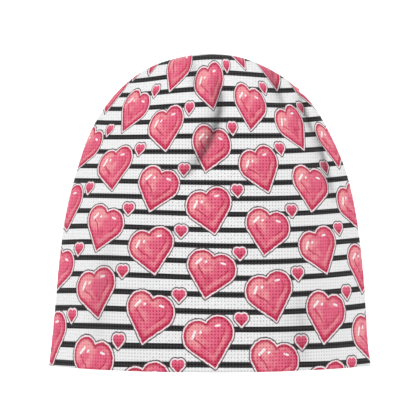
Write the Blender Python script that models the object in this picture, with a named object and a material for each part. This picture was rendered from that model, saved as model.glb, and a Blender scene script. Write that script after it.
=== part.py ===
"""A knit beanie sewn from two arched panels, standing on its rim.

Metres, +Z up, the front faces -Y. The origin is on the floor in the middle of the rim.
One seam runs in the plane y = 0 from rim to rim, up both sides and over the crown, and the
front and the back panel meet there. Each panel is knit cloth of even thickness, with the rim
turned up inside it as a hem of double cloth.
"""

import math

import bpy
import numpy as np

# Sizes of the hat
HAT_WIDTH = 0.212  # across the rim, from seam to seam
HAT_DEPTH = 0.112  # front to back at the rim
HAT_HEIGHT = 0.205
CLOTH_WALL = 0.0022
HEM_WALL = 0.0036  # the cloth and the hem that is turned up inside it
HEM_HEIGHT = 0.022
HEM_STEP = 0.003  # how far above the hem the wall is single again
SEAM_GAP = 0.0003
SEAM_TURN = math.radians(55)  # how far the rim's arc turns from its middle to the seam
SEAM_CALM = 0.010  # bulge below which folds fade out towards the seam
FOLD_DEPTH = 0.005  # how far the deepest fold draws the cloth in
FOLD_REACH = 0.010  # how far to each side a fold of middling width is felt

# Each row is a level of the hat: its height as a share of HAT_HEIGHT, how far it reaches left
# and right as shares of half HAT_WIDTH, and how far forward as a share of half HAT_DEPTH.
LEVEL_COLUMNS = ("height", "left", "right", "bulge")
LEVELS = (
    (0.000, 1.000, 1.000, 1.000),
    (0.060, 0.989, 0.986, 0.996),
    (0.200, 0.964, 0.972, 0.985),
    (0.350, 0.937, 0.947, 0.960),
    (0.500, 0.897, 0.907, 0.905),
    (0.630, 0.828, 0.847, 0.815),
    (0.740, 0.757, 0.752, 0.700),
    (0.835, 0.647, 0.644, 0.555),
    (0.910, 0.514, 0.502, 0.380),
    (0.963, 0.357, 0.340, 0.210),
    (0.988, 0.202, 0.206, 0.095),
    (0.996, 0.100, 0.120, 0.045),
    (1.000, 0.000, 0.000, 0.000),
)

# Each row is a fold: where it starts, turns and ends, across as a share of half HAT_WIDTH and
# up as a share of HAT_HEIGHT, then how deep it is as a share of FOLD_DEPTH and how far to each
# side it reaches as a share of FOLD_REACH.
FOLD_COLUMNS = (
    "start_x", "start_z", "turn_x", "turn_z", "end_x", "end_z", "dent", "reach",
)
FRONT_FOLDS = (
    (-0.10, 0.985, -0.095, 0.930, -0.09, 0.870, 0.44, 0.62),
    (0.045, 0.925, 0.04, 0.765, -0.16, 0.595, 1.00, 0.80),
    (0.36, 0.965, 0.415, 0.890, 0.46, 0.810, 0.56, 0.65),
    (0.55, 0.880, 0.595, 0.795, 0.665, 0.715, 0.52, 0.65),
    (0.655, 0.735, 0.70, 0.660, 0.77, 0.520, 0.52, 0.75),
    (0.54, 0.250, 0.56, 0.130, 0.57, 0.000, 0.36, 1.10),
    (-0.60, 0.420, -0.66, 0.250, -0.68, 0.060, 0.28, 1.20),
)
BACK_FOLDS = (
    (-0.10, 0.985, -0.13, 0.930, -0.12, 0.860, 0.56, 0.65),
    (0.15, 0.985, 0.17, 0.920, 0.26, 0.820, 0.60, 0.70),
    (-0.42, 0.900, -0.50, 0.800, -0.58, 0.660, 0.52, 0.85),
    (0.40, 0.300, 0.44, 0.160, 0.45, 0.000, 0.36, 1.20),
)
FOLD_LIP = 0.35  # how high the cloth is raised beside a fold, as a share of its dent

# The mesh
COLUMNS = 36
ROWS = 27  # above the hem's step
SHOULDER_SHARE = 0.33  # of the seam's length: below it a side of the panel, above it the top
SLOPE_STEP = 0.0004  # for measuring the cloth's slope
SEAM_SAMPLES = 600
FOLD_SAMPLES = 24
SEAM_CLEAR = 0.3  # the inner face keeps at least this share of the bulge from the seam's plane

CLOTH_COLOUR = (0.86, 0.85, 0.86, 1.0)
CLOTH_ROUGHNESS = 0.9


def smooth_table(at, known, values):
    """A smooth curve through (known, values), read at each of at, that never overshoots."""
    known, values = np.asarray(known, float), np.asarray(values, float)
    step = np.diff(known)
    rise = np.diff(values) / step
    slope = np.concatenate([[rise[0]], (rise[:-1] + rise[1:]) / 2, [rise[-1]]])
    flat = np.concatenate([[False], rise[:-1] * rise[1:] <= 0, [False]])
    slope[flat] = 0
    slope[1:-1] = np.clip(
        slope[1:-1],
        -3 * np.minimum(abs(rise[:-1]), abs(rise[1:])),
        3 * np.minimum(abs(rise[:-1]), abs(rise[1:])),
    )
    place = np.clip(np.searchsorted(known, at, side="right") - 1, 0, len(step) - 1)
    share = (at - known[place]) / step[place]
    start, end = values[place], values[place + 1]
    lean_in, lean_out = slope[place] * step[place], slope[place + 1] * step[place]
    return (
        start * (1 + 2 * share) * (1 - share) ** 2
        + lean_in * share * (1 - share) ** 2
        + end * share**2 * (3 - 2 * share)
        + lean_out * share**2 * (share - 1)
    )


def level(column, height_share):
    return smooth_table(
        height_share,
        [row[0] for row in LEVELS],
        [row[LEVEL_COLUMNS.index(column)] for row in LEVELS],
    )


def reach(side, height_share):
    """Half the hat's width on one side. Its square is what is smooth, so the crown is round."""
    shares = [row[LEVEL_COLUMNS.index(side)] ** 2 for row in LEVELS]
    squared = smooth_table(height_share, [row[0] for row in LEVELS], shares)
    return HAT_WIDTH / 2 * np.sqrt(np.maximum(squared, 0))


def seam_curve():
    """Points of the seam seen from the front, from the left of the rim to the right of it."""
    share = np.linspace(0, 1, SEAM_SAMPLES)
    height = 1 - (1 - share) ** 2
    left = np.stack([-reach("left", height), height * HAT_HEIGHT], axis=1)
    right = np.stack([reach("right", height), height * HAT_HEIGHT], axis=1)
    return np.concatenate([left, right[-2::-1]])


def along_seam(shares):
    """Points at these shares of the seam's length."""
    curve = seam_curve()
    length = np.concatenate(
        [[0], np.cumsum(np.linalg.norm(np.diff(curve, axis=0), axis=1))]
    )
    at = np.asarray(shares) * length[-1]
    return np.stack([np.interp(at, length, curve[:, k]) for k in (0, 1)], axis=-1)


def row_shares():
    """How far up the panel each row of the mesh is, with rows of its own at the hem's step."""
    side_length = along_seam([SHOULDER_SHARE])[0][1]
    hem = HEM_HEIGHT / side_length
    single = (HEM_HEIGHT + HEM_STEP) / side_length
    lower = [0, hem / 3, 2 * hem / 3, hem]
    return np.concatenate([lower, np.linspace(single, 1, ROWS)])


def panel_grid():
    """Where each point of the mesh is, seen from the front: x and z, row by row."""
    across = np.linspace(0, 1, COLUMNS + 1)[None, :, None]
    up = row_shares()[:, None, None]
    left = along_seam(SHOULDER_SHARE * up[:, 0, 0])[:, None, :]
    right = along_seam(1 - SHOULDER_SHARE * up[:, 0, 0])[:, None, :]
    top = along_seam(SHOULDER_SHARE + (1 - 2 * SHOULDER_SHARE) * across[0, :, 0])[None]
    rim_left, rim_right = left[:1], right[:1]
    rim = rim_left + (rim_right - rim_left) * across
    corners = (1 - up) * rim + up * (
        (1 - across) * top[:, :1] + across * top[:, -1:]
    )
    grid = (1 - up) * rim + up * top + (1 - across) * left + across * right - corners
    return grid[..., 0], grid[..., 1]


def fold_line(fold):
    """Points along a fold, on a smooth curve through its start, turn and end."""
    named = dict(zip(FOLD_COLUMNS, fold))
    half = HAT_WIDTH / 2
    start = np.array([named["start_x"] * half, named["start_z"] * HAT_HEIGHT])
    turn = np.array([named["turn_x"] * half, named["turn_z"] * HAT_HEIGHT])
    end = np.array([named["end_x"] * half, named["end_z"] * HAT_HEIGHT])
    share = np.linspace(0, 1, FOLD_SAMPLES)[:, None]
    pull = 2 * turn - (start + end) / 2
    line = (1 - share) ** 2 * start + 2 * share * (1 - share) * pull + share**2 * end
    return line, named["dent"] * FOLD_DEPTH, named["reach"] * FOLD_REACH


def fold_dent(x, z, fold):
    """How far a fold draws the cloth in at x, z: a dent along its line, with a lip each side."""
    line, dent, width = fold_line(fold)
    away = np.hypot(x[..., None] - line[:, 0], z[..., None] - line[:, 1])
    nearest = away.argmin(axis=-1)
    ratio = away.min(axis=-1) / width
    fade = np.sin(math.pi * (nearest + 1) / (FOLD_SAMPLES + 1)) ** 0.5
    lip = FOLD_LIP * np.exp(-((ratio - 2) ** 2) * 2)
    return dent * fade * (np.exp(-(ratio**2)) - lip)


def bulge(x, z, folds):
    """How far the cloth stands out from the seam's plane at x, z."""
    height_share = np.clip(z / HAT_HEIGHT, 0, 1)
    side = np.where(x < 0, reach("left", height_share), reach("right", height_share))
    across = np.clip(abs(x) / np.maximum(side, SLOPE_STEP), 0, 1.1)
    turn = math.sin(SEAM_TURN)
    middle = 1 - math.cos(SEAM_TURN)
    arc = (np.sqrt(1 - (turn * across) ** 2) - math.cos(SEAM_TURN)) / middle
    plain = HAT_DEPTH / 2 * level("bulge", height_share) * arc
    calm = np.clip(plain / SEAM_CALM, 0, 1)
    calm = calm * calm * (3 - 2 * calm)
    return plain - calm * sum(fold_dent(x, z, fold) for fold in folds)


def slopes(x, z, folds):
    """How steeply the bulge grows across and up."""
    here = bulge(x, z, folds)
    inward = np.where(x < 0, SLOPE_STEP, -SLOPE_STEP)
    across = (bulge(x + inward, z, folds) - here) / inward
    up = (here - bulge(x, z - SLOPE_STEP, folds)) / SLOPE_STEP
    up[0] = 0  # the cloth stands straight at the rim, so that the rim is flat
    return here, across, up


def wall_at(z):
    """The wall's thickness: double at the hem, single above it."""
    share = np.clip((z - HEM_HEIGHT) / HEM_STEP, 0, 1)
    return HEM_WALL + (CLOTH_WALL - HEM_WALL) * share


def panel_walls(folds):
    """The outer and the inner face of a panel as grids of points, with the seam at y = 0."""
    x, z = panel_grid()
    out, across, up = slopes(x, z, folds)
    normal = np.stack([-across, -np.ones_like(x), -up], axis=-1)
    normal /= np.linalg.norm(normal, axis=-1, keepdims=True)
    seam = np.zeros(x.shape, bool)
    seam[:, 0] = seam[:, -1] = seam[-1] = True
    out[seam] = 0
    outer = np.stack([x, -out, z], axis=-1)
    flat = normal * [1, 0, 1]
    flat /= np.maximum((flat**2).sum(axis=-1, keepdims=True), 0.25)
    offset = np.where(seam[..., None], flat, normal)
    inner = outer - offset * wall_at(z)[..., None]
    inner[..., 1] = np.minimum(inner[..., 1], -SEAM_CLEAR * out)
    inner[0, :, 2] = 0
    return outer, inner


def closed_faces(rows, columns):
    """Faces of a block whose outer grid of points comes first and its inner grid second."""
    size = rows * columns

    def at(row, column, inside):
        return row * columns + column + (size if inside else 0)

    faces = []
    for row in range(rows - 1):
        for column in range(columns - 1):
            corners = ((row, column), (row, column + 1), (row + 1, column + 1), (row + 1, column))
            faces.append([at(r, c, False) for r, c in corners])
            faces.append([at(r, c, True) for r, c in reversed(corners)])
    border = [(0, c) for c in range(columns)]
    border += [(r, columns - 1) for r in range(1, rows)]
    border += [(rows - 1, c) for c in range(columns - 2, -1, -1)]
    border += [(r, 0) for r in range(rows - 2, 0, -1)]
    for first, second in zip(border, border[1:] + border[:1]):
        faces.append(
            [at(*second, False), at(*first, False), at(*first, True), at(*second, True)]
        )
    return faces


def cloth_material(name):
    material = bpy.data.materials.new(name)
    material.use_nodes = True
    shader = material.node_tree.nodes["Principled BSDF"]
    shader.inputs["Base Color"].default_value = CLOTH_COLOUR
    shader.inputs["Roughness"].default_value = CLOTH_ROUGHNESS
    shader.inputs["Metallic"].default_value = 0
    return material


def add_panel(name, folds, facing):
    """One panel of cloth. facing is 1 for the front, which looks along -Y, and -1 for the back."""
    outer, inner = panel_walls(folds)
    rows, columns = outer.shape[:2]
    points = np.concatenate([outer.reshape(-1, 3), inner.reshape(-1, 3)])
    points = (points - [0, SEAM_GAP / 2, 0]) * [1, facing, 1]
    faces = [face[::facing] for face in closed_faces(rows, columns)]
    mesh = bpy.data.meshes.new(name)
    mesh.from_pydata(points.tolist(), [], faces)
    mesh.shade_smooth()
    mesh.set_sharp_from_angle(angle=math.radians(50))
    mesh.materials.append(cloth_material(name + "_cloth"))
    panel = bpy.data.objects.new(name, mesh)
    bpy.context.scene.collection.objects.link(panel)
    return panel


def main():
    for old in list(bpy.data.objects):
        bpy.data.objects.remove(old)
    add_panel("front_panel", FRONT_FOLDS, 1)
    add_panel("back_panel", BACK_FOLDS, -1)


main()
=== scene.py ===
"""A knit beanie with a print of hearts and stripes, standing on a pale studio floor.

It is laid out as a Blender add-on and is run as a script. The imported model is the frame. Each of
its two panels is made again here with knit, seam, folds and print, and stands for the plain
solid. Metres, +Z up, the front faces -Y.
"""

import functools
import math

import bpy
import numpy as np
from bpy.props import FloatProperty, FloatVectorProperty, PointerProperty
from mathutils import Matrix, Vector
from mathutils.kdtree import KDTree


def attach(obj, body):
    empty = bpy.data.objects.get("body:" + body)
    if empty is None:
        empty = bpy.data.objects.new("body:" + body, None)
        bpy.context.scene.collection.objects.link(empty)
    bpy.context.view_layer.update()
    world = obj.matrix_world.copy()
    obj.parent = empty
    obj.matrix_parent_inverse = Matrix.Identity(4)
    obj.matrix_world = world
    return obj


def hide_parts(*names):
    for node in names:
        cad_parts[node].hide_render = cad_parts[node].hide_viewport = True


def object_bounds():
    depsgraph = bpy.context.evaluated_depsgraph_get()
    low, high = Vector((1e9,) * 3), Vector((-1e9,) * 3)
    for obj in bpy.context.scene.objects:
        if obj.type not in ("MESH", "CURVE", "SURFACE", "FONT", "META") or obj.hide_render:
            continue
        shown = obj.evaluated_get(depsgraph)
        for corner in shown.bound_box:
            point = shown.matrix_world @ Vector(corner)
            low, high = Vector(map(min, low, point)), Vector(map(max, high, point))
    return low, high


bl_info = {
    "name": "Printed Beanie",
    "version": (1, 0, 0),
    "blender": (4, 5, 0),
    "location": "3D View > Sidebar > Beanie",
    "description": "Sews a knit beanie with a heart print and sets up its studio",
    "category": "Add Mesh",
}

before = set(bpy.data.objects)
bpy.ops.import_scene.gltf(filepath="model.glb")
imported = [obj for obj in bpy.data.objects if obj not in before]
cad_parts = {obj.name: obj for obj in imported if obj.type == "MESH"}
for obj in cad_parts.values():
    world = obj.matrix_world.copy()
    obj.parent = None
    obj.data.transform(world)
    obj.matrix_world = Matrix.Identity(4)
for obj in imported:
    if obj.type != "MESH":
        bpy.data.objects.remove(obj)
CAD_BOX = [list(corner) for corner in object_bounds()]

HAT_WIDTH = CAD_BOX[1][0] - CAD_BOX[0][0]
HAT_DEPTH = CAD_BOX[1][1] - CAD_BOX[0][1]
HAT_HEIGHT = CAD_BOX[1][2]
SEAM_TURN = math.radians(55)  # how far the rim's arc turns from its middle to the seam

# Each row is a level of the hat: its height as a share of HAT_HEIGHT, how far it reaches left
# and right as shares of half HAT_WIDTH, and how far forward as a share of half HAT_DEPTH.
LEVEL_COLUMNS = ("height", "left", "right", "bulge")
LEVELS = (
    (0.000, 1.000, 1.000, 1.000),
    (0.060, 0.986, 0.983, 0.996),
    (0.200, 0.959, 0.966, 0.985),
    (0.350, 0.932, 0.941, 0.960),
    (0.500, 0.889, 0.901, 0.905),
    (0.630, 0.823, 0.839, 0.815),
    (0.740, 0.749, 0.747, 0.700),
    (0.835, 0.642, 0.639, 0.555),
    (0.910, 0.507, 0.493, 0.380),
    (0.963, 0.343, 0.319, 0.210),
    (0.988, 0.184, 0.185, 0.095),
    (0.996, 0.090, 0.100, 0.045),
    (1.000, 0.000, 0.000, 0.000),
)
SHAPE = dict(zip(LEVEL_COLUMNS, np.array(LEVELS).T))

# Each row is a fold: where it starts, turns and ends, across as a share of half HAT_WIDTH and
# up as a share of HAT_HEIGHT, then how deep it is and how far it reaches to its left and
# right, in metres.
FRONT_FOLDS = (
    (-0.10, 0.985, -0.095, 0.930, -0.09, 0.860, 0.0022, 0.0055, 0.0030),
    (0.045, 0.925, 0.04, 0.765, -0.16, 0.595, 0.0062, 0.0078, 0.0030),
    (0.36, 0.965, 0.415, 0.890, 0.46, 0.810, 0.0036, 0.0068, 0.0034),
    (0.55, 0.880, 0.595, 0.795, 0.665, 0.715, 0.0046, 0.0044, 0.0026),
    (0.655, 0.735, 0.70, 0.660, 0.77, 0.520, 0.0042, 0.0060, 0.0028),
    (0.54, 0.250, 0.56, 0.130, 0.57, 0.000, 0.0014, 0.0110, 0.0070),
    (-0.60, 0.420, -0.66, 0.250, -0.68, 0.060, 0.0012, 0.0120, 0.0120),
)
BACK_FOLDS = (
    (-0.10, 0.990, -0.13, 0.930, -0.12, 0.840, 0.0030, 0.0060, 0.0030),
    (0.15, 0.990, 0.17, 0.920, 0.26, 0.810, 0.0034, 0.0030, 0.0070),
    (-0.42, 0.900, -0.50, 0.800, -0.58, 0.660, 0.0030, 0.0060, 0.0030),
    (0.40, 0.300, 0.44, 0.160, 0.45, 0.000, 0.0014, 0.0120, 0.0120),
)
FOLD_STEEP = 1.3  # how fast a fold's dent dies away to its sides
FOLD_SHARP = 0.18  # how round a fold is at its bottom, as a share of its reach
FOLD_FADE = 0.6  # how slowly a fold deepens from its ends
FOLD_LIP = 0.18  # how high the cloth is raised beside a fold, as a share of its dent
LIP_PLACE = 2.6  # where that is, in reaches from the bottom of the fold
FOLD_SHADE = 0.68  # the share of its colour that painted shade takes at the bottom of a fold SHADE_DEPTH deep
SHADE_DEPTH = 0.005
SHADE_FALL = 1.2  # how fast a fold's shade dies away, against its dent
FOLD_SAMPLES = 60

# Each row is a small step in the outline: its side, its height and how tall it is as shares of
# HAT_HEIGHT, and how far the seam is drawn in there, in metres.
STEPS = (("right", 0.876, 0.0055, 0.0010), ("right", 0.8875, 0.0040, -0.0007))

# Each row is a soft wave of the slack cloth: how many times it swings across the panel and up
# it, where it starts as a share of a swing, and its height in metres.
WAVES = (
    (1.5, 2.5, 0.10, 0.00035),
    (-2.5, 1.5, 0.45, 0.00030),
    (4.0, 3.5, 0.80, 0.00018),
    (-5.0, 6.0, 0.25, 0.00012),
)
BACK_WAVES = 0.37  # how much further on the back panel's waves start, as a share of a swing

PUFF_REACH = 2.5  # how far from the seam its swell reaches, in swells
PUFF_PEAK = 1.2  # what the swell's curve comes to where it is highest
PUCKER_WAVES = (0.0011, 0.0037)  # metres along the seam to a radian of the pulls' two waves
PUCKER_REACH = 0.004  # how far from the seam the pulls are deepest

# Each row is a level of the print: its height as a share of HAT_HEIGHT, how many stripes are
# below it, how far a printed line there hangs lower at DROP_PLACES than in the middle, in
# metres, and how wide the print is there as a share of its width at the rim. DROP_PLACES run
# from -1 at the left seam to 1 at the right one.
PRINT_LEVELS = (
    (0.0000, -0.445, 0.0024, 0.0007, 0.0010, 0.0013, 1.000),
    (0.0250, 0.00, 0.0023, 0.0007, 0.0010, 0.0013, 1.000),
    (0.1350, 2.00, 0.0010, -0.0006, 0.0007, -0.0004, 0.980),
    (0.2937, 5.00, -0.0001, -0.0013, 0.0003, -0.0018, 0.950),
    (0.4418, 8.00, -0.0008, -0.0015, 0.0000, -0.0023, 0.899),
    (0.5397, 10.00, -0.0013, -0.0010, 0.0001, -0.0025, 0.865),
    (0.6845, 13.00, -0.0005, -0.0001, -0.0003, -0.0032, 0.765),
    (0.7838, 15.00, 0.0009, 0.0012, 0.0000, -0.0019, 0.675),
    (0.8842, 17.00, 0.0042, 0.0023, 0.0006, 0.0000, 0.590),
    (0.9352, 18.00, 0.0055, 0.0023, 0.0007, 0.0014, 0.545),
    (0.9872, 19.00, 0.0016, 0.0008, 0.0002, 0.0005, 0.510),
    (1.0400, 20.00, 0.0000, 0.0000, 0.0000, 0.0000, 0.510),
)
DROP_PLACES = (-1, -0.5, 0.5, 1)
HEM_STRIPES = 0.445  # stripes from the rim up to the middle of the lowest one

# A heart in units of its own, from its point at 0 up to the cleft between its lobes at 1.
HEART_SPAN = 1.207
HEART_MIDDLE = 0.56
LOBE_MIDDLE = (0.25, 0.75)
LOBE_RADIUS = 0.3536

# Each row is a dark stroke on a large heart: how far inside the edge it runs, its width, the
# middle of its stretch across and up, and how far it reaches. All are shares of half the width.
STROKES = (
    (0.40, 0.050, -0.42, 0.00, 0.46),
    (0.34, 0.045, 0.62, 0.10, 0.42),
    (0.58, 0.040, 0.16, -0.36, 0.40),
)

# Each row is a white glint, in the same shares: where it starts and ends, and its radius.
GLINTS = (
    (-0.66, 0.30, -0.50, 0.52, 0.050),
    (-0.30, 0.44, -0.27, 0.47, 0.045),
    (0.36, 0.56, 0.52, 0.55, 0.040),
)

PRINT_SOFT = 0.00018  # how far the ink of a heart runs at its edges
STRIPE_SOFT = 0.0002
WOBBLE = 0.0009  # how far the drawn edge of a heart strays from a true one
WOBBLE_SCALE = 330
BLOT_SCALE = 150
COLUMNS_LEVEL = 3  # hearts that many columns apart stand level
BUD_START = 0.08  # how far up the small hearts start, as a share of their pitch
HEART_START = 0.58

# Where the loops are stretched open, in metres across and up: the middle of the place, how far
# it reaches to each side and up, and over how much of that it fades.
OPEN_MIDDLE = 0.006
OPEN_REACH = 0.112
OPEN_SIDE_FADE = 0.070
OPEN_NARROWS = 4  # how much narrower it gets, as a share for each metre up
OPEN_TOP = 0.190
OPEN_TOP_FADE = 0.065
OPEN_LEAST = 0.32  # how far the tightest loops are open
KNIT_FADE = 0.002  # how far from the seam and the rim a hole gets its full depth

HOLE_SCALE = 420  # how quickly the holes change from one to the next
FUZZ_SCALE = 1000
# The colour of the painted sheen on the yarn.
YARN_SHEEN = (0.75, 0.75, 0.76)
GLINT_COLOUR = (0.95, 0.92, 0.92)

# Each row is a lamp: its name, its place and the side of its square, in metres.
LAMPS = (("key", (-1.5, -1.25, 0.9), 0.6), ("fill", (1.65, -1.15, 0.7), 0.8))

SEAM_SAMPLES = 700
COURSE_SAMPLES = 1200
ROW_SAMPLES = 260
RIM_ROWS = (0.0, 0.12, 0.4)  # the lowest rows of the mesh, as shares of the rim's radius
EDGE_FACE = 0.45  # the least width of a face at the seam, as a share of the others
INNER_SHARE = 0.3  # the least the inner face stands out, as a share of the outer face
SLOPE_STEP = 0.0003  # how far apart the two points are that give a slope
TINY = 1e-6


class BeanieCloth(bpy.types.PropertyGroup):
    """Sizes of the cloth, the seam and the knit."""

    wall: FloatProperty(
        name="Cloth", description="Thickness of the cloth", default=0.0022, subtype="DISTANCE",
    )
    hem_wall: FloatProperty(
        name="Hem", description="Thickness of the cloth and the hem turned up inside it",
        default=0.0036, subtype="DISTANCE",
    )
    hem_height: FloatProperty(
        name="Hem Height", description="How far up the hem reaches inside", default=0.022,
        subtype="DISTANCE",
    )
    hem_step: FloatProperty(
        name="Hem Step", description="Height over which the hem's edge thins out",
        default=0.0008, subtype="DISTANCE",
    )
    rim_round: FloatProperty(
        name="Rim Round", description="Radius of the rim's fold", default=0.0012,
        subtype="DISTANCE",
    )
    seam_gap: FloatProperty(
        name="Seam Gap", description="Room between the two panels at the seam",
        default=0.0001, subtype="DISTANCE",
    )
    seam_groove: FloatProperty(
        name="Seam Groove", description="How deep the seam lies in the cloth beside it",
        default=0.0003, subtype="DISTANCE",
    )
    seam_puff: FloatProperty(
        name="Seam Puff", description="How far the cloth swells beside the seam",
        default=0.0016, subtype="DISTANCE",
    )
    seam_calm: FloatProperty(
        name="Seam Calm", description="Bulge below which folds fade out towards the seam",
        default=0.010, subtype="DISTANCE",
    )
    pucker: FloatProperty(
        name="Pucker", description="Depth of the small pulls along the seam", default=0.00022,
        subtype="DISTANCE",
    )
    loop_width: FloatProperty(
        name="Loop Width", description="Width of one knit loop", default=0.0021,
        subtype="DISTANCE",
    )
    loop_height: FloatProperty(
        name="Loop Height", description="Height of one knit loop", default=0.0021,
        subtype="DISTANCE",
    )
    hole_depth: FloatProperty(
        name="Hole Depth", description="Depth of the hole between four loops",
        default=0.00036, subtype="DISTANCE",
    )


class BeaniePrint(bpy.types.PropertyGroup):
    """Sizes and colours of the print."""

    heart_width: FloatProperty(
        name="Heart", description="Width of a large heart", default=0.0325, subtype="DISTANCE",
    )
    bud_width: FloatProperty(
        name="Small Heart", description="Width of a small heart", default=0.0085,
        subtype="DISTANCE",
    )
    pitch_across: FloatProperty(
        name="Pitch Across", description="From one column of hearts to the next",
        default=0.0414, subtype="DISTANCE",
    )
    pitch_up: FloatProperty(
        name="Pitch Up", description="From one heart of a column to the next",
        default=0.0417, subtype="DISTANCE",
    )
    back_shift: FloatProperty(
        name="Back Shift", description="How far across the print of the back panel is cut",
        default=0.0160, subtype="DISTANCE",
    )
    tilt: FloatProperty(
        name="Tilt", description="How far the hearts lean, in turn left and right",
        default=math.radians(13), subtype="ANGLE",
    )
    halo: FloatProperty(
        name="Halo", description="Width of the pale edge round a heart", default=0.0009,
        subtype="DISTANCE",
    )
    line: FloatProperty(
        name="Line", description="Width of the thin line round the halo", default=0.00075,
        subtype="DISTANCE",
    )
    stripe_pitch: FloatProperty(
        name="Stripe Pitch", description="From one stripe to the next", default=0.0105,
        subtype="DISTANCE",
    )
    stripe_width: FloatProperty(
        name="Stripe", description="Width of a stripe", default=0.0035, subtype="DISTANCE",
    )
    cloth_colour: FloatVectorProperty(
        name="Cloth", description="Colour of the cloth", subtype="COLOR",
        default=(0.82, 0.82, 0.825), min=0, max=1,
    )
    stripe_colour: FloatVectorProperty(
        name="Stripes", description="Colour of the stripes", subtype="COLOR",
        default=(0.003, 0.0015, 0.0025), min=0, max=1,
    )
    heart_colour: FloatVectorProperty(
        name="Hearts", description="Colour of the hearts", subtype="COLOR",
        default=(0.74, 0.110, 0.205), min=0, max=1,
    )
    light_colour: FloatVectorProperty(
        name="Light Side", description="Colour of a heart's lit side", subtype="COLOR",
        default=(0.85, 0.31, 0.34), min=0, max=1,
    )
    dark_colour: FloatVectorProperty(
        name="Dark Side", description="Colour of a heart's rim and dark side",
        subtype="COLOR", default=(0.50, 0.010, 0.065), min=0, max=1,
    )
    halo_colour: FloatVectorProperty(
        name="Halo", description="Colour of the pale edge", subtype="COLOR",
        default=(0.88, 0.76, 0.78), min=0, max=1,
    )
    line_colour: FloatVectorProperty(
        name="Line", description="Colour of the thin line", subtype="COLOR",
        default=(0.06, 0.030, 0.038), min=0, max=1,
    )


class BeanieStudio(bpy.types.PropertyGroup):
    """The camera, the lights and the floor."""

    distance: FloatProperty(
        name="Distance", description="From the seam to the camera", default=1.63,
        subtype="DISTANCE",
    )
    eye: FloatProperty(
        name="Eye", description="Height of the camera", default=0.130, subtype="DISTANCE",
    )
    aim_across: FloatProperty(
        name="Aim Across", description="Where the camera aims, across", default=-0.0013,
        subtype="DISTANCE",
    )
    aim_height: FloatProperty(
        name="Aim Height", description="How high the camera aims", default=0.1036,
        subtype="DISTANCE",
    )
    view_width: FloatProperty(
        name="View Width", description="Width of the picture at the seam", default=0.2730,
        subtype="DISTANCE",
    )
    key_power: FloatProperty(
        name="Key", description="Power of the large light on the left", default=14, unit="POWER",
    )
    fill_power: FloatProperty(
        name="Fill", description="Power of the light on the right", default=11, unit="POWER",
    )
    sky: FloatProperty(
        name="Surroundings", description="Strength of the light from all around", default=0.80,
    )
    floor_glow: FloatProperty(
        name="Floor Glow", description="How much the floor is lit from behind", default=0.52,
    )
    floor_colour: FloatVectorProperty(
        name="Floor", description="Colour of the floor", subtype="COLOR",
        default=(0.92, 0.92, 0.92), min=0, max=1,
    )


def smooth_table(at, known, values):
    """A smooth curve through (known, values), read at each of at, that never overshoots."""
    known, values = np.asarray(known, float), np.asarray(values, float)
    step = np.diff(known)
    rise = np.diff(values) / step
    slope = np.concatenate([[rise[0]], (rise[:-1] + rise[1:]) / 2, [rise[-1]]])
    flat = np.concatenate([[False], rise[:-1] * rise[1:] <= 0, [False]])
    slope[flat] = 0
    limit = 3 * np.minimum(abs(rise[:-1]), abs(rise[1:]))
    slope[1:-1] = np.clip(slope[1:-1], -limit, limit)
    place = np.clip(np.searchsorted(known, at, side="right") - 1, 0, len(step) - 1)
    share = (at - known[place]) / step[place]
    start, end = values[place], values[place + 1]
    lean_in, lean_out = slope[place] * step[place], slope[place + 1] * step[place]
    return (
        start * (1 + 2 * share) * (1 - share) ** 2
        + lean_in * share * (1 - share) ** 2
        + end * share**2 * (3 - 2 * share)
        + lean_out * share**2 * (share - 1)
    )


def eased(share):
    """share cut to between 0 and 1, and smoothed at both ends."""
    share = np.clip(share, 0, 1)
    return share * share * (3 - 2 * share)


def reach(side, height_share):
    """Half the hat's width on one side. Its square is what is smooth, so the crown is round."""
    squared = smooth_table(height_share, SHAPE["height"], SHAPE[side] ** 2)
    out = HAT_WIDTH / 2 * np.sqrt(np.maximum(squared, 0))
    for place, height, tall, inward in STEPS:
        if place == side:
            out = out - inward * np.exp(-(((height_share - height) / tall) ** 2))
    return out


def side_reach(x, z):
    share = np.clip(z / HAT_HEIGHT, 0, 1)
    return np.where(x < 0, reach("left", share), reach("right", share))


def seam_curve():
    """Points of the seam seen from the front, from the left of the rim to the right of it."""
    share = np.linspace(0, 1, SEAM_SAMPLES)
    height = 1 - (1 - share) ** 2
    left = np.stack([-reach("left", height), height * HAT_HEIGHT], axis=1)
    right = np.stack([reach("right", height), height * HAT_HEIGHT], axis=1)
    return np.concatenate([left, right[-2::-1]])


def point_tree(points):
    tree = KDTree(len(points))
    for number, (x, z) in enumerate(points):
        tree.insert((x, 0, z), number)
    tree.balance()
    return tree


SEAM = seam_curve()
SEAM_TREE = point_tree(SEAM)


def seam_distance(x, z):
    """How far each point is from the seam, seen from the front."""
    return np.array([SEAM_TREE.find((across, 0, up))[2] for across, up in zip(x, z)])


def plain_bulge(x, z, away, cloth):
    """How far the cloth stands out from the seam's plane, with no folds."""
    across = np.clip(abs(x) / np.maximum(side_reach(x, z), TINY), 0, 1)
    turn = math.sin(SEAM_TURN)
    middle = 1 - math.cos(SEAM_TURN)
    arc = (np.sqrt(1 - (turn * across) ** 2) - math.cos(SEAM_TURN)) / middle
    share = np.clip(z / HAT_HEIGHT, 0, 1)
    swell = away / (PUFF_REACH * cloth.seam_puff)
    puff = cloth.seam_puff * np.sqrt(swell) * np.exp(1 - swell)
    forward = smooth_table(share, SHAPE["height"], SHAPE["bulge"])
    return HAT_DEPTH / 2 * forward * arc + puff / PUFF_PEAK


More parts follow.
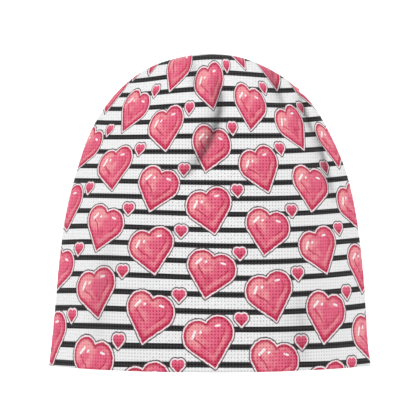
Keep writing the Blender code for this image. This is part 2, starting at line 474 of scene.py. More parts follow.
def fold_line(fold):
    """Points along a fold, on a smooth curve through its start, turn and end."""
    *places, dent, left, right = fold
    start, turn, end = np.reshape(places, (3, 2)) * [HAT_WIDTH / 2, HAT_HEIGHT]
    share = np.linspace(0, 1, FOLD_SAMPLES)[:, None]
    pull = 2 * turn - (start + end) / 2
    line = (1 - share) ** 2 * start + 2 * share * (1 - share) * pull + share**2 * end
    return line, dent, left, right


def fold_form(x, z, fold):
    """A fold's dent and its lips at x, z in metres, and how near its bottom that is, up to 1."""
    line, dent, left, right = fold_line(fold)
    away = np.hypot(x[:, None] - line[:, 0], z[:, None] - line[:, 1])
    nearest = away.argmin(axis=1)
    ratio = away.min(axis=1) / np.where(x < line[nearest, 0], left, right)
    fade = np.sin(math.pi * nearest / (FOLD_SAMPLES - 1)) ** FOLD_FADE
    deep = np.exp(-FOLD_STEEP * (np.sqrt(ratio**2 + FOLD_SHARP**2) - FOLD_SHARP))
    lip = FOLD_LIP * np.exp(-((ratio - LIP_PLACE) ** 2))
    return dent * fade * deep, dent * fade * lip, deep


def folded(x, z, folds):
    """How far all folds draw the cloth in at x, z. Where two of them cross, the deeper counts."""
    forms = [fold_form(x, z, fold) for fold in folds]
    dents = np.max([dent for dent, _, _ in forms], axis=0)
    return dents - np.max([lip for _, lip, _ in forms], axis=0)


def fold_shade(x, z, folds):
    """The shade painted into the cloth's colour in its folds: how much of the colour is kept
    there, from 0 to 1.
    """
    light = np.ones_like(x)
    for fold in folds:
        dent, _, deep = fold_form(x, z, fold)
        light *= 1 - FOLD_SHADE * np.clip(dent / SHADE_DEPTH, 0, 1) * deep**SHADE_FALL
    return light


def wave_height(x, z, turned):
    """The slack cloth's soft waves. turned is how much further on they start, in swings."""
    height = np.zeros_like(x)
    for across, up, start, size in WAVES:
        swing = across * x / HAT_WIDTH + up * z / HAT_HEIGHT + start + turned
        height += size * np.sin(2 * math.pi * swing)
    return height


def pucker(x, z, away, cloth):
    """Small pulls that the seam makes in the cloth beside it."""
    along = np.arctan2(x, z + HAT_HEIGHT / 3) * HAT_HEIGHT
    short, long = PUCKER_WAVES
    pull = np.sin(along / short) * np.sin(along / long + 1)
    share = away / PUCKER_REACH
    return cloth.pucker * pull * share * np.exp(1 - share)


def bulge(x, z, away, folds, turned, cloth):
    """How far the cloth stands out from the seam's plane, folds and waves included."""
    plain = plain_bulge(x, z, away, cloth)
    slack = wave_height(x, z, turned) - folded(x, z, folds)
    return plain + eased(plain / cloth.seam_calm) * slack + pucker(x, z, away, cloth)


def grow(x, y, z):
    """Length along the line of points x, y, z."""
    steps = np.sqrt(np.diff(x) ** 2 + np.diff(y) ** 2 + np.diff(z) ** 2)
    return np.concatenate([[0], np.cumsum(steps)])


def course_levels(cloth):
    """Heights of the mesh's rows and their lengths up the cloth, two rows to a course."""
    share = np.linspace(0, 1, COURSE_SAMPLES)
    height = HAT_HEIGHT * (1 - (1 - share) ** 2)
    still = np.zeros_like(height)
    out = plain_bulge(still, height, seam_distance(still, height), cloth)
    length = grow(still, out, height)
    step = cloth.loop_height / 2
    rim = cloth.rim_round * np.array(RIM_ROWS)
    rows = np.arange(step, length[-1] - step / 2, step)
    lengths = np.concatenate([rim, rows])
    return np.interp(lengths, length, height), lengths


def wale_row(z, cloth):
    """One row of the mesh: places across, lengths across from the middle, and column numbers."""
    share = z / HAT_HEIGHT
    left = -reach("left", np.array([share]))[0]
    right = reach("right", np.array([share]))[0]
    turn = np.linspace(-math.pi / 2, math.pi / 2, ROW_SAMPLES)
    x = (left + right) / 2 + (right - left) / 2 * np.sin(turn)
    flat = np.full_like(x, z)
    out = plain_bulge(x, flat, seam_distance(x, flat), cloth)
    length = grow(x, out, flat)
    length -= np.interp(0, x, length)
    step = cloth.loop_width / 2
    first = math.ceil(length[0] / step + EDGE_FACE)
    last = math.floor(length[-1] / step - EDGE_FACE)
    columns = np.arange(first, last + 1)
    across = np.concatenate([[left], np.interp(columns * step, length, x), [right]])
    lengths = np.concatenate([[length[0]], columns * step, [length[-1]]])
    names = [None, *columns.tolist(), None]
    return across, lengths, names


def zip_rows(lower, upper):
    """Faces between two rows. A row lists (vertex, length across, column), seam to seam."""
    faces = []
    low = high = 0
    while low < len(lower) - 1 or high < len(upper) - 1:
        low_next = lower[low + 1] if low < len(lower) - 1 else None
        high_next = upper[high + 1] if high < len(upper) - 1 else None
        here = lower[low][2] is not None and lower[low][2] == upper[high][2]
        if here and low_next and high_next and low_next[2] == high_next[2]:
            faces.append((lower[low][0], low_next[0], high_next[0], upper[high][0]))
            low, high = low + 1, high + 1
        elif high_next is None or (low_next is not None and low_next[1] <= high_next[1]):
            faces.append((lower[low][0], low_next[0], upper[high][0]))
            low += 1
        else:
            faces.append((lower[low][0], high_next[0], upper[high][0]))
            high += 1
    return faces


def panel_net(cloth):
    """The mesh that both panels share: its points seen from the front, its faces and its edge."""
    heights, ups = course_levels(cloth)
    rows, points = [], []
    for height, up in zip(heights, ups):
        row_x, row_s, columns = wale_row(height, cloth)
        rows.append([(len(points) + n, row_s[n], columns[n]) for n in range(len(row_x))])
        points.extend((x, height, across, up) for x, across in zip(row_x, row_s))
    rows.append([(len(points), 0, None)])
    points.append((0, HAT_HEIGHT, 0, ups[-1] + cloth.loop_height / 2))
    faces = []
    for lower, upper in zip(rows, rows[1:]):
        faces.extend(zip_rows(lower, upper))
    edge = [vertex for vertex, _, _ in rows[0]]
    edge += [row[-1][0] for row in rows[1:]]
    edge += [row[0][0] for row in rows[-2:0:-1]]
    x, z, across, up = np.array(points).T.copy()
    inward = np.where(x < 0, SLOPE_STEP, -SLOPE_STEP)
    return {
        "x": x, "z": z, "across": across, "up": up, "inward": inward,
        "away": seam_distance(x, z), "away_beside": seam_distance(x + inward, z),
        "away_below": seam_distance(x, z - SLOPE_STEP), "faces": faces, "edge": edge,
    }


def seam_inward(x, z):
    """Directions in the seam's plane that point into the hat, for points on the seam."""
    nearest = np.hypot(x[:, None] - SEAM[:, 0], z[:, None] - SEAM[:, 1]).argmin(axis=1)
    before = SEAM[np.maximum(nearest - 1, 0)]
    after = SEAM[np.minimum(nearest + 1, len(SEAM) - 1)]
    along = after - before
    along /= np.linalg.norm(along, axis=1, keepdims=True)
    return np.stack([along[:, 1], np.zeros(len(x)), -along[:, 0]], axis=1)


def wall_at(z, cloth):
    share = np.clip((z - cloth.hem_height) / cloth.hem_step, 0, 1)
    return cloth.hem_wall + (cloth.wall - cloth.hem_wall) * share


def loops_open(net):
    """How far the loops are stretched open, up to 1: most low down in the middle of a panel."""
    off_middle = abs(net["across"] - OPEN_MIDDLE) * (1 + OPEN_NARROWS * net["up"])
    beside = np.clip((OPEN_REACH - off_middle) / OPEN_SIDE_FADE, 0, 1)
    below = np.clip((OPEN_TOP - net["up"]) / OPEN_TOP_FADE, 0, 1)
    return OPEN_LEAST + (1 - OPEN_LEAST) * eased(beside * below)


def panel_walls(net, folds, turned, cloth):
    """Points of a front panel's outer and inner face, the seam at y = 0, and their knit share."""
    x, z, inward = net["x"], net["z"], net["inward"]
    out = bulge(x, z, net["away"], folds, turned, cloth)
    beside = bulge(x + inward, z, net["away_beside"], folds, turned, cloth)
    below = bulge(x, z - SLOPE_STEP, net["away_below"], folds, turned, cloth)
    slope_x = (beside - out) / inward
    slope_z = (out - below) / SLOPE_STEP
    slope_z[z < cloth.rim_round] = 0
    normal = np.stack([-slope_x, -np.ones_like(x), -slope_z], axis=-1)
    normal /= np.linalg.norm(normal, axis=-1, keepdims=True)

    seam = np.zeros(len(x), bool)
    seam[net["edge"]] = True
    seam[(z == 0) & (abs(x) < side_reach(x, z) - TINY)] = False
    out[seam] = 0
    outer = np.stack([x, -out, z], axis=-1)
    inside = seam_inward(x[seam], z[seam])
    normal[seam] = -inside
    outer[seam] += inside * cloth.seam_groove

    radius = cloth.rim_round
    low = np.clip(radius - z, 0, radius)
    tuck = radius - np.sqrt(radius**2 - low**2)
    inner = outer - normal * (wall_at(z, cloth) - tuck)[:, None]
    outer -= normal * tuck[:, None]
    inner[:, 1] = np.where(seam, 0, np.minimum(inner[:, 1], -INNER_SHARE * out))
    outer[:, 2] = np.where(z == 0, 0, np.maximum(outer[:, 2], TINY))
    inner[:, 2] = np.where(z == 0, 0, np.maximum(inner[:, 2], TINY))
    knit = np.clip(net["away"] / KNIT_FADE, 0, 1) * np.clip(z / KNIT_FADE, 0, 1)
    return outer, inner, knit * loops_open(net)


def print_drop(spot, share, heights, drops):
    """How much lower a printed line is at spot than in the middle, on one smooth curve."""
    drop = 0
    for place, drops_there in zip(DROP_PLACES, drops):
        weight = spot / place
        for other in DROP_PLACES:
            if other != place:
                weight = weight * (spot - other) / (place - other)
        drop = drop + weight * smooth_table(share, heights, drops_there)
    return drop


def print_place(x, z, cloth_width):
    """Where each point lies on the print: metres across, and stripes up."""
    side = side_reach(x, z)
    reached = np.clip(abs(x) / np.maximum(side, TINY), 0, 1)
    angle = np.arcsin(reached * math.sin(SEAM_TURN)) / SEAM_TURN
    share = z / HAT_HEIGHT
    heights, stripes, *drops, widths = np.array(PRINT_LEVELS).T
    drop = print_drop(np.sign(x) * reached, share, heights, drops)
    level_share = share + drop / HAT_HEIGHT
    width = cloth_width * side / HAT_WIDTH / smooth_table(share, heights, widths)
    return np.sign(x) * angle * width, smooth_table(level_share, heights, stripes)


def closed_faces(net, facing):
    """The outer faces, the same ones inside, and then one face for each step of the edge."""
    faces, edge, count = net["faces"], net["edge"], len(net["x"])
    inside = [[corner + count for corner in reversed(face)] for face in faces]
    sides = []
    for first, second in zip(edge, edge[1:] + edge[:1]):
        sides.append((second, first, first + count, second + count))
    return [list(face)[::facing] for face in [*faces, *inside, *sides]]


def print_map(net, hem, width, facing, ink):
    """Where the points of the outer and then the inner face lie on the print, in metres."""
    print_x, print_z = print_place(net["x"], net["z"], width)
    print_z = (print_z + HEM_STRIPES) * ink.stripe_pitch
    print_x = np.tile(print_x, 2) * facing
    if facing < 0:
        print_x += ink.back_shift
    print_z = np.concatenate([print_z, np.where(hem, -print_z, print_z)])
    return np.stack([print_x, print_z], axis=1)


def bake_map(net, corners, width, facing):
    """The bake's own map: outer face above, inner face below it, and the edge along the top."""
    across, up, count = net["across"] / width + 0.5, net["up"], len(net["edge"])
    faces = []
    for low, tall in ((0.28, 0.66), (0.01, 0.25)):
        faces.append(np.stack([across, low + tall * up / up.max()], axis=1))
    left, wide = 0.01, 0.98
    places = np.concatenate(faces)[corners]
    places[:, 0] = left + wide * places[:, 0]
    low, high = 0.96, 0.99
    for number in range(count):
        here = left + wide * number / count
        there = left + wide * (number + 1) / count
        start = len(corners) - 4 * (count - number)
        strip = [(there, low), (here, low), (here, high), (there, high)]
        places[start : start + 4] = strip[::facing]
    return places


def set_uv(mesh, name, places):
    layer = mesh.uv_layers.new(name=name, do_init=False)
    layer.data.foreach_set("uv", np.asarray(places, np.float32).ravel())


def set_attribute(mesh, name, kind, field, values):
    layer = mesh.attributes.new(name, kind, "POINT")
    layer.data.foreach_set(field, values.ravel())


def panel_mesh(name, net, folds, facing, cloth, ink):
    """A closed mesh of one panel. facing is 1 for the front and -1 for the back."""
    x, z, across, up, edge = [net[part] for part in ("x", "z", "across", "up", "edge")]
    turned = 0 if facing > 0 else BACK_WAVES
    outer, inner, knit = panel_walls(net, folds, turned, cloth)
    points = np.concatenate([outer, inner])
    points = (points - [0, cloth.seam_gap / 2, 0]) * [1, facing, 1]
    mesh = bpy.data.meshes.new(name)
    mesh.from_pydata(points.tolist(), [], closed_faces(net, facing))

    width = 2 * abs(float(across[edge[0]]))
    hem = z < cloth.hem_height
    corners = np.zeros(len(mesh.loops), int)
    mesh.loops.foreach_get("vertex_index", corners)
    set_uv(mesh, "Print", print_map(net, hem, width, facing, ink)[corners])
    set_uv(mesh, "OFBake", bake_map(net, corners, width, facing))

    depth = np.concatenate([knit, 0.5 * knit])
    loops = np.stack([np.tile(across, 2), np.tile(up, 2), depth], axis=1)
    set_attribute(mesh, "knit", "FLOAT_VECTOR", "vector", loops)
    printed = np.concatenate([np.ones(len(x)), hem.astype(float)])
    printed[np.array(edge) + len(x)] = 1
    set_attribute(mesh, "inked", "FLOAT", "value", printed)
    # The painted shade of the folds, which the material multiplies into the cloth's colour.
    light = np.concatenate([fold_shade(x, z, folds), np.ones(len(x))])
    set_attribute(mesh, "shade", "FLOAT", "value", light)
    mesh.shade_smooth()
    mesh.set_sharp_from_angle(angle=math.radians(60))
    mesh.validate()
    return mesh, width, up.max()


class Number:
    """A number in a node tree. Each sum or product of it is a Math node."""

    def __init__(self, tree, socket):
        self.tree = tree
        self.socket = socket

    def made(self, operation, *others):
        node = self.tree.nodes.new("ShaderNodeMath")
        node.operation = operation
        for socket, value in zip(node.inputs, (self, *others)):
            if isinstance(value, Number):
                self.tree.links.new(value.socket, socket)
            else:
                socket.default_value = value
        return Number(self.tree, node.outputs[0])

    def __add__(self, other):
        return self.made("ADD", other)

    def __sub__(self, other):
        return self.made("SUBTRACT", other)

    def __mul__(self, other):
        return self.made("MULTIPLY", other)

    def __truediv__(self, other):
        return self.made("DIVIDE", other)

    def __abs__(self):
        return self.made("ABSOLUTE")

    def least(self, other):
        return self.made("MINIMUM", other)

    def most(self, other):
        return self.made("MAXIMUM", other)

    def ramp(self, low, high):
        """0 below low and 1 above high, or the other way round if low is the larger."""
        node = self.tree.nodes.new("ShaderNodeMapRange")
        node.interpolation_type = "SMOOTHSTEP"
        self.tree.links.new(self.socket, node.inputs[0])
        node.inputs[1].default_value = min(low, high)
        node.inputs[2].default_value = max(low, high)
        node.inputs[3].default_value = 0 if low < high else 1
        node.inputs[4].default_value = 1 if low < high else 0
        return Number(self.tree, node.outputs[0])


def length_of(x, y):
    return (x * x + y * y).made("SQRT")


def mixed(tree, share, low, high, blend="MIX"):
    """A colour between low and high, each a colour or a socket."""
    node = tree.nodes.new("ShaderNodeMix")
    node.data_type = "RGBA"
    node.blend_type = blend
    if isinstance(share, Number):
        tree.links.new(share.socket, node.inputs[0])
    else:
        node.inputs[0].default_value = share
    for socket, colour in ((node.inputs[6], low), (node.inputs[7], high)):
        if isinstance(colour, bpy.types.NodeSocket):
            tree.links.new(colour, socket)
        else:
            socket.default_value = (*colour, 1)
    return node.outputs[2]


def set_inputs(node, values):
    for name, value in values.items():
        node.inputs[name].default_value = value


def noise(tree, place, scale, detail):
    node = tree.nodes.new("ShaderNodeTexNoise")
    set_inputs(node, {"Scale": scale, "Detail": detail})
    tree.links.new(place, node.inputs["Vector"])
    return Number(tree, node.outputs["Fac"])


def attribute(tree, name):
    """The outputs of a node that reads that attribute of the mesh."""
    node = tree.nodes.new("ShaderNodeAttribute")
    node.attribute_name = name
    return node.outputs


def parts(tree, vector):
    """The three numbers of a vector."""
    split = tree.nodes.new("ShaderNodeSeparateXYZ")
    tree.links.new(vector, split.inputs[0])
    return [Number(tree, socket) for socket in split.outputs]


def heart_distance(x, y, width):
    """How far a point is outside a heart of that width, negative inside it. Metres."""
    scale = width / HEART_SPAN
    right = abs(x / scale)
    up = y / scale + HEART_MIDDLE
    lobe = length_of(right - LOBE_MIDDLE[0], up - LOBE_MIDDLE[1]) - LOBE_RADIUS
    cleft = right * right + (up - 1) * (up - 1)
    nearest = (right + up).most(0) * 0.5
    flank = (right - nearest) * (right - nearest) + (up - nearest) * (up - nearest)
    side = cleft.least(flank).made("SQRT") * (right - up).made("SIGN")
    high = (right + up).made("GREATER_THAN", 1)
    return (side + high * (lobe - side)) * scale


def glint(x, y, start, end, radius):
    """1 on a short white stroke from start to end, 0 off it. Metres."""
    run = Vector(end) - Vector(start)
    away_x, away_y = x - start[0], y - start[1]
    along = (away_x * run.x + away_y * run.y) / run.length_squared
    along = along.most(0).least(1)
    distance = length_of(away_x - along * run.x, away_y - along * run.y)
    return distance.ramp(radius * 1.25, radius * 0.75)


def stroke(x, y, edge, inset, width, middle, far):
    """1 on a painted stroke that runs inset from a heart's edge, near middle, 0 elsewhere."""
    line = abs(edge + inset).ramp(width, width * 0.35)
    return line * length_of(x - middle[0], y - middle[1]).ramp(far, far * 0.55)


def heart_body(tree, x, y, edge, blot, ink):
    """The colours inside a large heart, as on glossy enamel: lit above left, dark below right."""
    half = ink.heart_width / 2
    light = (y * 0.78 - x * 0.62) / half + (blot - 0.5) * 1.7
    colour = mixed(tree, light.ramp(0.05, 0.75), ink.heart_colour, ink.light_colour)
    colour = mixed(tree, light.ramp(-0.05, -0.90) * 0.85, colour, ink.dark_colour)
    drawn = edge + (blot - 0.5) * 0.22 * half
    glow = stroke(x, y, drawn, 0.24 * half, 0.11 * half, (0.42 * half, -0.30 * half), 0.75 * half)
    colour = mixed(tree, glow * 0.55, colour, ink.light_colour)
    patch = length_of(x + 0.16 * half, y + 0.02 * half).ramp(0.34 * half, 0.10 * half)
    colour = mixed(tree, patch * blot.ramp(0.36, 0.60) * 0.5, colour, ink.light_colour)
    for row in STROKES:
        inset, width, *middle, far = [share * half for share in row]
        dark = stroke(x, y, drawn, inset, width, middle, far)
        colour = mixed(tree, dark * 0.80, colour, ink.dark_colour)
    rim = edge.ramp(-0.16 * half, -0.05 * half)
    colour = mixed(tree, rim * 0.95, colour, ink.dark_colour)
    glints = []
    for row in GLINTS:
        *ends, radius = [share * half for share in row]
        glints.append(glint(x, y, ends[:2], ends[2:], radius))
    white = functools.reduce(Number.most, glints)
    return mixed(tree, white * 0.9, colour, GLINT_COLOUR)


def heart_layers(tree, under, edge, body, ink):
    """A heart over what is under it: a thin line, a pale halo, then the body."""
    outer = ink.halo + ink.line
    line = edge.ramp(outer + PRINT_SOFT, outer - PRINT_SOFT) * 0.92
    colour = mixed(tree, line, under, ink.line_colour)
    halo = edge.ramp(ink.halo + PRINT_SOFT, ink.halo - PRINT_SOFT)
    colour = mixed(tree, halo, colour, ink.halo_colour)
    return mixed(tree, edge.ramp(PRINT_SOFT, -PRINT_SOFT), colour, body)


def printed_colour(tree, ink):
    """The print: stripes, then small hearts, then large ones that lean in turn."""
    place = tree.nodes.new("ShaderNodeUVMap")
    place.uv_map = "Print"
    across, up, _ = parts(tree, place.outputs[0])
    wobble = (noise(tree, place.outputs[0], WOBBLE_SCALE, 1) - 0.5) * WOBBLE
    blot = noise(tree, place.outputs[0], BLOT_SCALE, 2)

    lines = up / ink.stripe_pitch - HEM_STRIPES
    off = abs(lines - lines.made("ROUND")) * ink.stripe_pitch
    half = ink.stripe_width / 2
    stripe = off.ramp(half + STRIPE_SOFT, half - STRIPE_SOFT)
    colour = mixed(tree, stripe, ink.cloth_colour, ink.stripe_colour)

    lane = across / ink.pitch_across
    between = lane.made("FLOOR") + 0.5
    rank = up / ink.pitch_up + between / COLUMNS_LEVEL + BUD_START
    bud_x = (lane - between) * ink.pitch_across
    bud_y = (rank - rank.made("ROUND")) * ink.pitch_up
    bud = heart_distance(bud_x, bud_y, ink.bud_width) + wobble * 0.4
    shade = mixed(tree, bud_y.ramp(-0.003, 0.003), ink.dark_colour, ink.heart_colour)
    colour = heart_layers(tree, colour, bud, shade, ink)

    column = lane.made("ROUND")
    rank = up / ink.pitch_up + column / COLUMNS_LEVEL + HEART_START
    row = rank.made("ROUND")
    flat_x = (lane - column) * ink.pitch_across
    flat_y = (rank - row) * ink.pitch_up
    lean = (column + row).made("PINGPONG", 1) * 2 - 1
    sine, cosine = lean * math.sin(ink.tilt), math.cos(ink.tilt)
    heart_x = flat_x * cosine + flat_y * sine
    heart_y = flat_y * cosine - flat_x * sine
    edge = heart_distance(heart_x, heart_y, ink.heart_width) + wobble
    body = heart_body(tree, heart_x, heart_y, edge, blot, ink)
    return heart_layers(tree, colour, edge, body, ink)


def loop_hole(wale, course):
    """1 in the middle of a hole between four loops, and 0 half a loop away."""
    across = (wale * math.pi).made("SINE")
    up = (course * math.pi).made("SINE")
    return across * across * up * up


def knit_pattern(tree, cloth):
    """What the knit does at a point: how deep in a hole it is, the same with no two holes
    alike, how far the yarn stands out, its fuzz, and how far the loops are open.
    """
    place = attribute(tree, "knit")["Vector"]
    across, up, opened = parts(tree, place)
    wale = across / cloth.loop_width
    course = up / cloth.loop_height
    dip = loop_hole(wale, course)
    uneven = noise(tree, place, HOLE_SCALE, 1).ramp(0.32, 0.68) * 0.95 + 0.45
    hole = dip * dip * dip * uneven
    slant = abs(wale - wale.made("ROUND")) * 2
    yarn = ((course * 2 - slant) * (2 * math.pi)).made("SINE") * 0.5 + 0.5
    fuzz = noise(tree, place, FUZZ_SCALE, 2)
    return dip, hole, yarn, fuzz, opened


def knit_colour(tree, colour, dip, hole, yarn, fuzz, opened):
    """A colour as the knit shows it, with painted shade and light: darker and deeper in the holes,
    darker in the folds, and paler with a painted sheen on the yarn.
    """
    # Painted shade in the holes, painted light where the yarn stands out, and the fuzz's random
    # tone.
    light = hole * (opened * -0.48 - 0.10) + yarn * 0.06 + (fuzz - 0.5) * 0.55 + 0.960
    # Painted shade of the folds.
    light = light * Number(tree, attribute(tree, "shade")["Fac"])
    grey = tree.nodes.new("ShaderNodeCombineXYZ")
    for socket in grey.inputs:
        tree.links.new(light.socket, socket)
    # Painted shade that deepens the colour in the holes.
    deeper = tree.nodes.new("ShaderNodeGamma")
    tree.links.new(colour, deeper.inputs["Color"])
    tree.links.new((hole * (opened * 0.6 + 0.15) + 1).socket, deeper.inputs["Gamma"])
    colour = mixed(tree, 1.0, deeper.outputs[0], grey.outputs[0], "MULTIPLY")
    # A painted sheen on the yarn, fainter in the holes.
    pale = (yarn.ramp(0.35, 0.90) * 0.6 + 0.25) * (dip * -0.14 + 0.079)
    return mixed(tree, pale, colour, YARN_SHEEN)


def cloth_material(name, cloth, ink):
    """Matt knit with the print in it. The inner face is plain above the hem."""
    material = bpy.data.materials.new(name)
    material.use_nodes = True
    tree = material.node_tree
    shader = tree.nodes["Principled BSDF"]
    dip, hole, yarn, fuzz, opened = knit_pattern(tree, cloth)
    inked = Number(tree, attribute(tree, "inked")["Fac"])
    colour = mixed(tree, inked, ink.cloth_colour, printed_colour(tree, ink))
    colour = knit_colour(tree, colour, dip, hole, yarn, fuzz, opened)
    tree.links.new(colour, shader.inputs["Base Color"])
    rough = yarn * 0.06 + 0.84
    tree.links.new(rough.socket, shader.inputs["Roughness"])
    soft = {"Specular IOR Level": 0.15, "Sheen Weight": 0.08, "Sheen Roughness": 0.5}
    set_inputs(shader, soft)
    bump = tree.nodes.new("ShaderNodeBump")
    set_inputs(bump, {"Strength": 0.55, "Distance": 0.00022})
    relief = yarn * 0.8 + fuzz * 0.5 - hole * 0.8
    tree.links.new(relief.socket, bump.inputs["Height"])
    tree.links.new(bump.outputs[0], shader.inputs["Normal"])
    return material


def knit_tree():
    """Geometry nodes that press a hole between each four loops into a panel of cloth."""
    tree = bpy.data.node_groups.new("Knit Loops", "GeometryNodeTree")
    for title, side, kind in (
        ("Geometry", "INPUT", "Geometry"),
        ("Loop Width", "INPUT", "Float"),
        ("Loop Height", "INPUT", "Float"),
        ("Hole Depth", "INPUT", "Float"),
        ("Cloth", "INPUT", "Material"),
        ("Geometry", "OUTPUT", "Geometry"),
    ):
        tree.interface.new_socket(title, in_out=side, socket_type="NodeSocket" + kind)
    given = tree.nodes.new("NodeGroupInput")
    result = tree.nodes.new("NodeGroupOutput")
    knit = tree.nodes.new("GeometryNodeInputNamedAttribute")
    knit.data_type = "FLOAT_VECTOR"
    knit.inputs["Name"].default_value = "knit"
    across, up, opened = parts(tree, knit.outputs["Attribute"])
    wale = across / Number(tree, given.outputs["Loop Width"])
    course = up / Number(tree, given.outputs["Loop Height"])
    hole = loop_hole(wale, course) * opened
    depth = hole * Number(tree, given.outputs["Hole Depth"]) * -1
    normal = tree.nodes.new("GeometryNodeInputNormal")
    offset = tree.nodes.new("ShaderNodeVectorMath")
    offset.operation = "SCALE"
    tree.links.new(normal.outputs[0], offset.inputs[0])
    tree.links.new(depth.socket, offset.inputs["Scale"])
    press = tree.nodes.new("GeometryNodeSetPosition")
    tree.links.new(given.outputs["Geometry"], press.inputs["Geometry"])
    tree.links.new(offset.outputs[0], press.inputs["Offset"])
    real = tree.nodes.new("GeometryNodeRealizeInstances")
    tree.links.new(press.outputs[0], real.inputs[0])
    finish = tree.nodes.new("GeometryNodeSetMaterial")
    tree.links.new(real.outputs[0], finish.inputs["Geometry"])
    tree.links.new(given.outputs["Cloth"], finish.inputs["Material"])
    tree.links.new(finish.outputs[0], result.inputs[0])
    return tree


def settle(obj, tree, values):
    """Runs a node tree on obj with the named values, and keeps the result as its mesh."""
    modifier = obj.modifiers.new(tree.name, "NODES")
    modifier.node_group = tree
    for item in tree.interface.items_tree:
        if item.in_out == "INPUT" and item.name in values:
            modifier[item.identifier] = values[item.name]
    depsgraph = bpy.context.evaluated_depsgraph_get()
    made = bpy.data.meshes.new_from_object(
        obj.evaluated_get(depsgraph), preserve_all_data_layers=True, depsgraph=depsgraph
    )
    obj.modifiers.remove(modifier)
    old = obj.data
    obj.data = made
    bpy.data.meshes.remove(old)
    made.name = obj.name


def placed(name, data):
    """A new object of the scene that shows data."""
    obj = bpy.data.objects.new(name, data)
    bpy.context.scene.collection.objects.link(obj)
    return obj


def turn_to(obj, aim):
    """Turns a lamp or a camera to face aim, and returns how far away that is."""
    direction = Vector(aim) - obj.location
    obj.rotation_euler = direction.to_track_quat("-Z", "Y").to_euler()
    return direction.length


def sew_panel(node, net, folds, facing):
    cloth, ink = bpy.context.scene.beanie_cloth, bpy.context.scene.beanie_print
    mesh, width, tall = panel_mesh(node + "_knit", net, folds, facing, cloth, ink)
    panel = placed(node + "_knit", mesh)
    tree = bpy.data.node_groups.get("Knit Loops") or knit_tree()
    values = {
        "Loop Width": cloth.loop_width,
        "Loop Height": cloth.loop_height,
        "Hole Depth": cloth.hole_depth,
        "Cloth": cloth_material(node + "_cloth", cloth, ink),
    }
    settle(panel, tree, values)
    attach(panel, "root")
    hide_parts(node)
    long = tall + cloth.hem_height
    hem_area = width * cloth.hem_height
    area = sum(face.area for face in panel.data.polygons) / 2 + hem_area


def soft_light(name, place, aim, size, power):
    """A large square lamp at place that faces aim."""
    lamp = bpy.data.lights.new(name, "AREA")
    lamp.shape = "SQUARE"
    lamp.size = size
    lamp.energy = power
    holder = placed(name, lamp)
    holder.location = place
    turn_to(holder, aim)


def floor_mesh():
    """A round floor that curves up into a wall far away on all sides of the hat."""
    flat, bend, tall = 5.0, 1.5, 6.0
    steps, sides = 12, 96
    line = [(flat, 0.0)]
    for step in range(1, steps + 1):
        turn = math.pi / 2 * step / steps
        line.append((flat + bend * math.sin(turn), bend * (1 - math.cos(turn))))
    line.append((flat + bend, tall))
    turns = [2 * math.pi * side / sides for side in range(sides)]
    points = [(out * math.cos(turn), out * math.sin(turn), z) for out, z in line for turn in turns]
    faces = [tuple(range(sides))]
    for ring in range(len(line) - 1):
        for side in range(sides):
            here, there = ring * sides + side, ring * sides + (side + 1) % sides
            faces.append((there, here, here + sides, there + sides))
    mesh = bpy.data.meshes.new("studio_floor")
    mesh.from_pydata(points, [], faces)
    mesh.shade_smooth()
    return mesh


def floor_material(studio):
    material = bpy.data.materials.new("studio_floor")
    material.use_nodes = True
    tree = material.node_tree
    shader = tree.nodes["Principled BSDF"]
    place = tree.nodes.new("ShaderNodeTexCoord")
    grain = noise(tree, place.outputs["Object"], 3, 2)
    dim = [0.985 * part for part in studio.floor_colour]
    tree.links.new(mixed(tree, grain, dim, studio.floor_colour), shader.inputs["Base Color"])
    glow = {"Emission Color": (1, 1, 1, 1), "Emission Strength": studio.floor_glow}
    set_inputs(shader, {"Roughness": 0.9, "Specular IOR Level": 0.0, **glow})
    return material


class BEANIE_OT_panels(bpy.types.Operator):
    """Sew the front and the back panel, each knit and printed"""

    bl_idname = "beanie.panels"
    bl_label = "Sew Panels"

    def execute(self, context):
        net = panel_net(context.scene.beanie_cloth)
        sew_panel("front_panel", net, FRONT_FOLDS, 1)
        sew_panel("back_panel", net, BACK_FOLDS, -1)
        return {"FINISHED"}


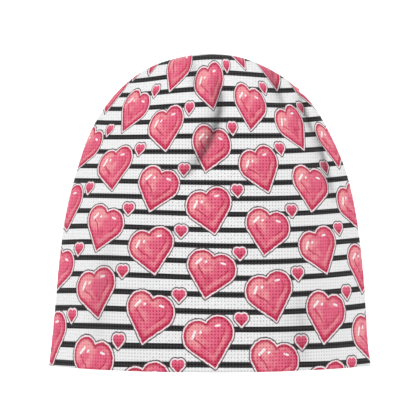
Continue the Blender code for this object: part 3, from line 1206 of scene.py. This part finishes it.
class BEANIE_OT_studio(bpy.types.Operator):
    """Set up the floor, the lights and the camera"""

    bl_idname = "beanie.studio"
    bl_label = "Set Up Studio"

    def execute(self, context):
        scene = context.scene
        studio = scene.beanie_studio
        floor = placed("studio_floor", floor_mesh())
        floor.data.materials.append(floor_material(studio))
        floor.visible_diffuse = False  # so that the hat's shade is the lights' alone

        world = bpy.data.worlds.new("studio")
        world.use_nodes = True
        sky = {"Color": (1, 1, 1, 1), "Strength": studio.sky}
        set_inputs(world.node_tree.nodes["Background"], sky)
        scene.world = world

        middle = (0, 0, HAT_HEIGHT / 2)
        for name, place, size in LAMPS:
            soft_light(name, place, middle, size, getattr(studio, name + "_power"))

        lens = bpy.data.cameras.new("camera")
        camera = placed("camera", lens)
        camera.location = (studio.aim_across, -studio.distance, studio.eye)
        away = turn_to(camera, (studio.aim_across, 0, studio.aim_height))
        lens.lens = lens.sensor_width * away / studio.view_width
        lens.clip_start = 0.05
        lens.clip_end = 50
        scene.camera = camera
        scene.view_settings.view_transform = "Standard"
        return {"FINISHED"}


class BEANIE_PT_sidebar(bpy.types.Panel):
    bl_idname = "BEANIE_PT_sidebar"
    bl_label = "Beanie"
    bl_space_type = "VIEW_3D"
    bl_region_type = "UI"
    bl_category = "Beanie"

    def draw(self, context):
        scene = context.scene
        for settings in (scene.beanie_cloth, scene.beanie_print, scene.beanie_studio):
            box = self.layout.box()
            for name in settings.bl_rna.properties.keys():
                if name not in ("rna_type", "name"):
                    box.prop(settings, name)
        for operator in OPERATORS:
            self.layout.operator(operator.bl_idname)


SETTINGS = (BeanieCloth, BeaniePrint, BeanieStudio)
OPERATORS = (BEANIE_OT_panels, BEANIE_OT_studio)


def register():
    for kind in (*SETTINGS, *OPERATORS, BEANIE_PT_sidebar):
        bpy.utils.register_class(kind)
    bpy.types.Scene.beanie_cloth = PointerProperty(type=BeanieCloth)
    bpy.types.Scene.beanie_print = PointerProperty(type=BeaniePrint)
    bpy.types.Scene.beanie_studio = PointerProperty(type=BeanieStudio)


def unregister():
    del bpy.types.Scene.beanie_studio
    del bpy.types.Scene.beanie_print
    del bpy.types.Scene.beanie_cloth
    for kind in (BEANIE_PT_sidebar, *reversed(OPERATORS), *reversed(SETTINGS)):
        bpy.utils.unregister_class(kind)


def main():
    register()
    bpy.ops.beanie.panels()
    bpy.ops.beanie.studio()


if __name__ == "__main__":
    main()
